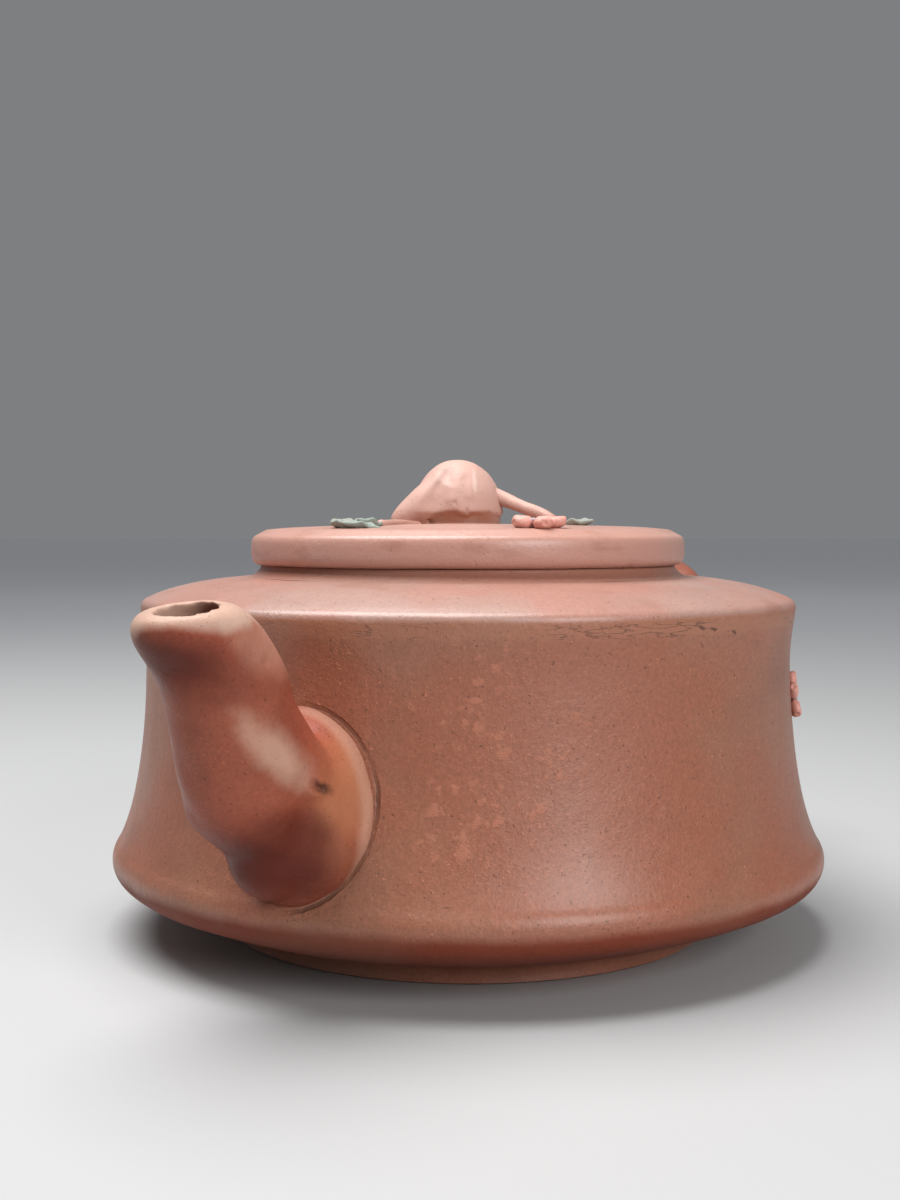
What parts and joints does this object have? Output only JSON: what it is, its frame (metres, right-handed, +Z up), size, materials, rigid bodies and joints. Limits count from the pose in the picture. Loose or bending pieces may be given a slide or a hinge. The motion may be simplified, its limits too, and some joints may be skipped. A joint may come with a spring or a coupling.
{
  "type": "teapot",
  "caption": "Low flared unglazed clay teapot with an upright branch spout, a branch handle, a loose flanged lid and applied blossoms, twigs and leaves.",
  "frame": {"origin": "centre of the foot ring, on the table", "axes": "+X toward the spout, -X toward the handle, +Z up, +Y toward the side with the relief branch"},
  "size_m": [0.1656, 0.1162, 0.0763],
  "materials": {
    "body_clay": "fine unglazed stoneware, hand burnished, low satin sheen",
    "shoulder_clay": "fine unglazed stoneware, burnished on top",
    "handled_clay": "unglazed stoneware darkened and polished by tea and handling",
    "raw_clay": "unglazed stoneware left unburnished inside the pot",
    "pink_clay": "coral pink inlay clay, matt",
    "green_clay": "grey green inlay clay, matt",
    "eye_clay": "greyish lavender slip, matt"
  },
  "bodies": {
    "pot": {"foot_ring": "body_clay", "base_slab": "body_clay", "body_wall": "body_clay", "shoulder_plate": "shoulder_clay", "neck_ring": "shoulder_clay", "spout": "handled_clay", "spout_strainer": "raw_clay", "handle": "handled_clay", "handle_knots": "handled_clay", "handle_twig": "handled_clay", "wall_bough": "handled_clay", "wall_blossoms": "pink_clay", "wall_blossom_eyes": "eye_clay", "wall_leaves": "green_clay", "wall_buds": "pink_clay"},
    "lid": {"lid_disc": "shoulder_clay", "lid_flange": "raw_clay", "knob_stump": "shoulder_clay", "knob_twig": "shoulder_clay", "leaf_stem": "shoulder_clay", "lid_blossom": "pink_clay", "lid_blossom_eye": "eye_clay", "lid_leaves": "green_clay", "lid_side_leaf": "green_clay", "lid_bud": "pink_clay"}
  },
  "joints": [
    {"name": "lid_lift", "type": "slide", "parent": "pot", "child": "lid", "axis": [0, 0, 1], "range_m": [0, 0.08]}
  ]
}
